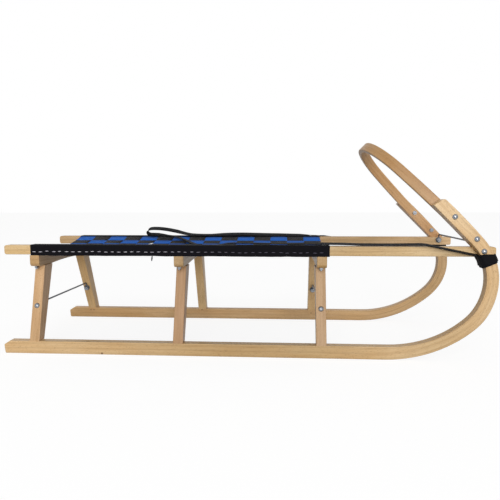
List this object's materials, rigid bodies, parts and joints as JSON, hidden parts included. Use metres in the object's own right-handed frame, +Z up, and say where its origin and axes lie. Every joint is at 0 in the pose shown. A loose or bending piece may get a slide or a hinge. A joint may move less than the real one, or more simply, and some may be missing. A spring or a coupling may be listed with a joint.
{
  "type": "wooden sled",
  "caption": "Wooden sled with upturned runners, splayed trestles, a webbing seat, a bent wood bow at the nose and a webbing pull strap.",
  "frame": {"origin": "on the floor under the middle of the sled: midway along the seat rails and on the centre line", "axes": "+X forward to the nose, +Y to the left, +Z up"},
  "size_m": [1.1, 0.37, 0.4835],
  "materials": {
    "beech_runner": "clear lacquered beech",
    "beech_frame": "clear lacquered beech",
    "beech_bow": "bent beech, clear lacquered",
    "zinc_bolt": "bright plated",
    "steel_wire": "grey steel wire",
    "seat_cloth": "black and blue checked webbing",
    "strap_webbing": "black polyester webbing"
  },
  "bodies": {
    "root": {"runner_left": "beech_runner", "runner_right": "beech_runner", "rail_left": "beech_frame", "rail_right": "beech_frame", "yoke_rear": "beech_frame", "yoke_middle": "beech_frame", "yoke_front": "beech_frame", "leg_rear_left": "beech_frame", "leg_rear_right": "beech_frame", "leg_middle_left": "beech_frame", "leg_middle_right": "beech_frame", "leg_front_left": "beech_frame", "leg_front_right": "beech_frame", "bow": "beech_bow", "horn_bolts": "zinc_bolt", "rail_end_bolts": "zinc_bolt", "leg_bolts": "zinc_bolt", "rail_bolts": "zinc_bolt", "tie_rod_rear": "steel_wire", "tie_rod_front": "steel_wire", "tie_rod_nose": "steel_wire", "seat_panel": "seat_cloth", "seat_sleeve_left": "strap_webbing", "seat_sleeve_right": "strap_webbing", "strap_wrap_left": "strap_webbing", "strap_wrap_right": "strap_webbing", "pull_strap": "strap_webbing"}
  },
  "joints": []
}
